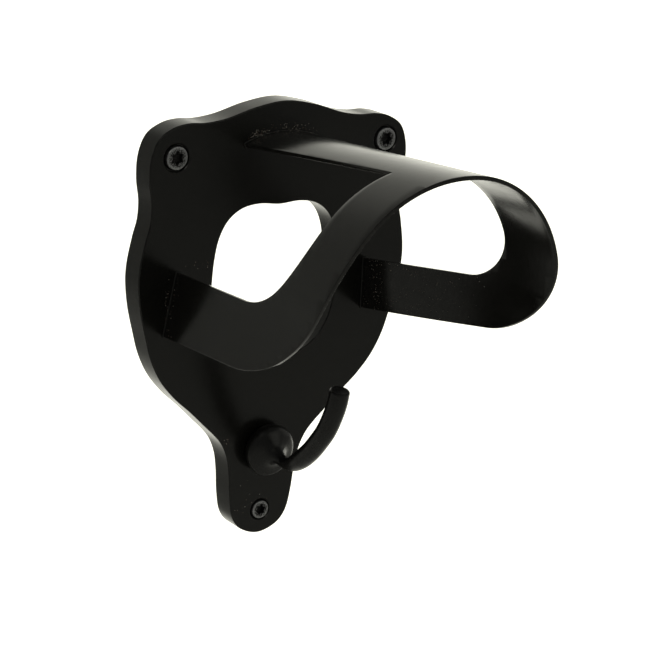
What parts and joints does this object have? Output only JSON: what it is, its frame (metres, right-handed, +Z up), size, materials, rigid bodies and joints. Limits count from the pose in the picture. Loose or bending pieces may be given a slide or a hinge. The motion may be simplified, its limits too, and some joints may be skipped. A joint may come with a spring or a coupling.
{
  "type": "hair dryer holder",
  "caption": "Wall bracket: shaped plate with a central window, a bent-sheet arch cradle standing forward for a hand dryer, and a coat-style hook below.",
  "frame": {"origin": "on the plate's back face, on the centre line, between the window and the hook; the wall lies on y = 0", "axes": "+Z up, +Y into the wall, -Y the front where the cradle and the hook stand forward, +X to the right seen from the front"},
  "size_m": [0.125, 0.1409, 0.1798],
  "materials": {
    "black_powder_coat": "satin black powder coat with a fine grain, dry and dusty in the corners",
    "black_hook_coat": "satin black coat on a cast hook",
    "screw_steel": "satin zinc-plated steel"
  },
  "bodies": {
    "root": {"back_plate": "black_powder_coat", "cradle": "black_powder_coat", "hook": "black_hook_coat", "hook_screw": "screw_steel", "tab_screw_top": "screw_steel", "tab_screw_left": "screw_steel", "tab_screw_right": "screw_steel", "wall_screw_upper_left": "screw_steel", "wall_screw_upper_right": "screw_steel", "wall_screw_lower": "screw_steel"}
  },
  "joints": []
}
